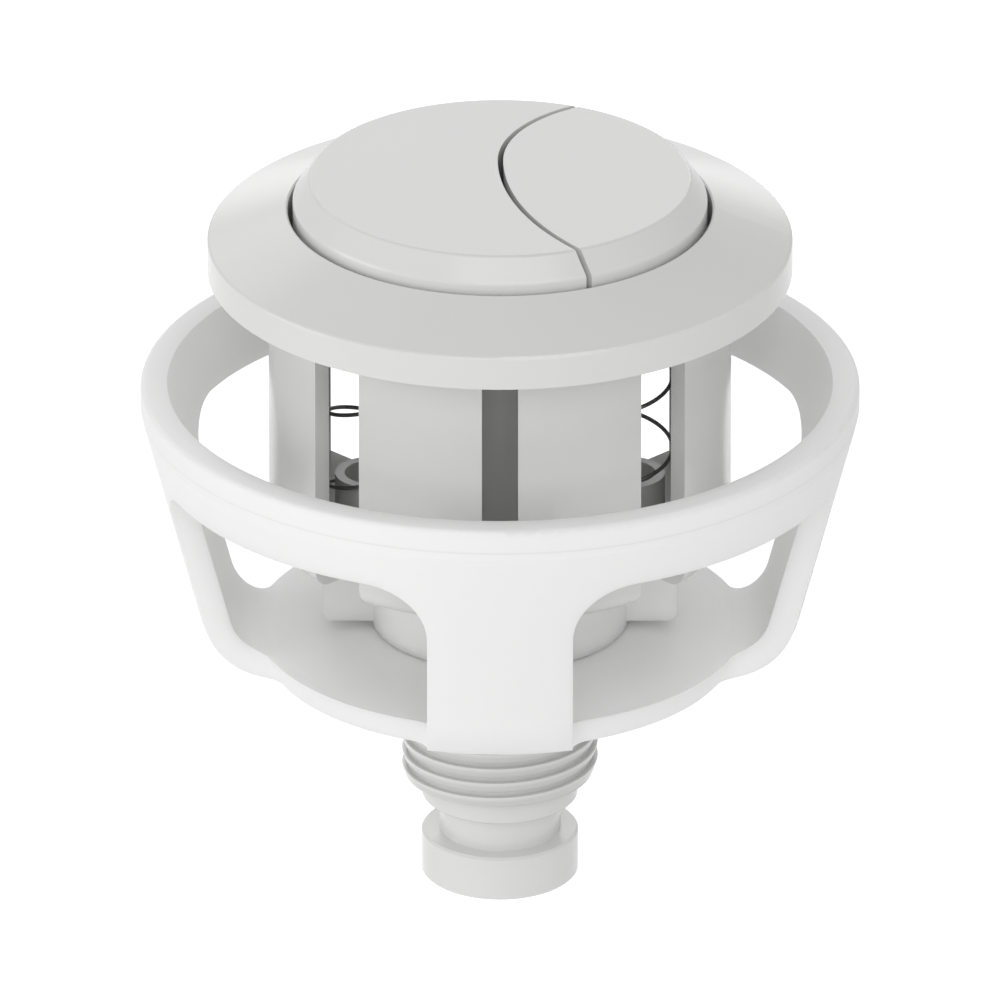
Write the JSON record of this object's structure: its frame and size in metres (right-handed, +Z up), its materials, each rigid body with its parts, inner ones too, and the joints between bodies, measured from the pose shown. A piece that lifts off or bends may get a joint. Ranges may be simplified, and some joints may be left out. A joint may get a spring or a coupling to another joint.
{
  "type": "push button cistern actuator",
  "caption": "Round two-button flush actuator for a cistern lid, with a slotted barrel, return springs, a clamping cage and a wing nut on a threaded stem.",
  "frame": {"origin": "on the axis, in the plane of the bezel's seat on the cistern lid", "axes": "+Z up along the axis, out of the cistern; +X towards the half flush button, so the picture looks along +Y"},
  "size_m": [0.09, 0.0898, 0.0953],
  "materials": {
    "moulding": "moulded light grey plastic, glossy",
    "button": "moulded light grey plastic, glossy",
    "rod": "moulded light grey plastic, plain",
    "spring": "drawn steel wire, dull",
    "cage": "moulded white plastic, satin"
  },
  "bodies": {
    "housing": {"body": "moulding"},
    "full_flush": {"full_flush_button": "button", "full_flush_rod": "rod", "full_flush_spring": "spring"},
    "half_flush": {"half_flush_button": "button", "half_flush_rod": "rod", "half_flush_spring": "spring"},
    "clamp_cage": {"cage": "cage"},
    "clamp_nut": {"wing_nut": "cage"}
  },
  "joints": [
    {"name": "full_flush_press", "type": "slide", "parent": "housing", "child": "full_flush", "axis": [0, 0, -1], "range_m": [0, 0.006], "stiffness_N_per_m": 250, "springref_m": -0.006, "deforming": ["full_flush_spring"]},
    {"name": "half_flush_press", "type": "slide", "parent": "housing", "child": "half_flush", "axis": [0, 0, -1], "range_m": [0, 0.006], "stiffness_N_per_m": 250, "springref_m": -0.006, "deforming": ["half_flush_spring"]},
    {"name": "cage_slide", "type": "slide", "parent": "housing", "child": "clamp_cage", "axis": [0, 0, 1], "range_m": [-0.012, 0.0036]},
    {"name": "wing_nut_turn", "type": "hinge", "parent": "clamp_cage", "child": "clamp_nut", "pos_m": [0, 0, -0.044], "axis": [0, 0, 1], "range_deg": [-2160, 648]}
  ],
  "couplings": [
    {"joint": "wing_nut_turn", "follows": "cage_slide", "rad_per_m": 3141.6}
  ]
}
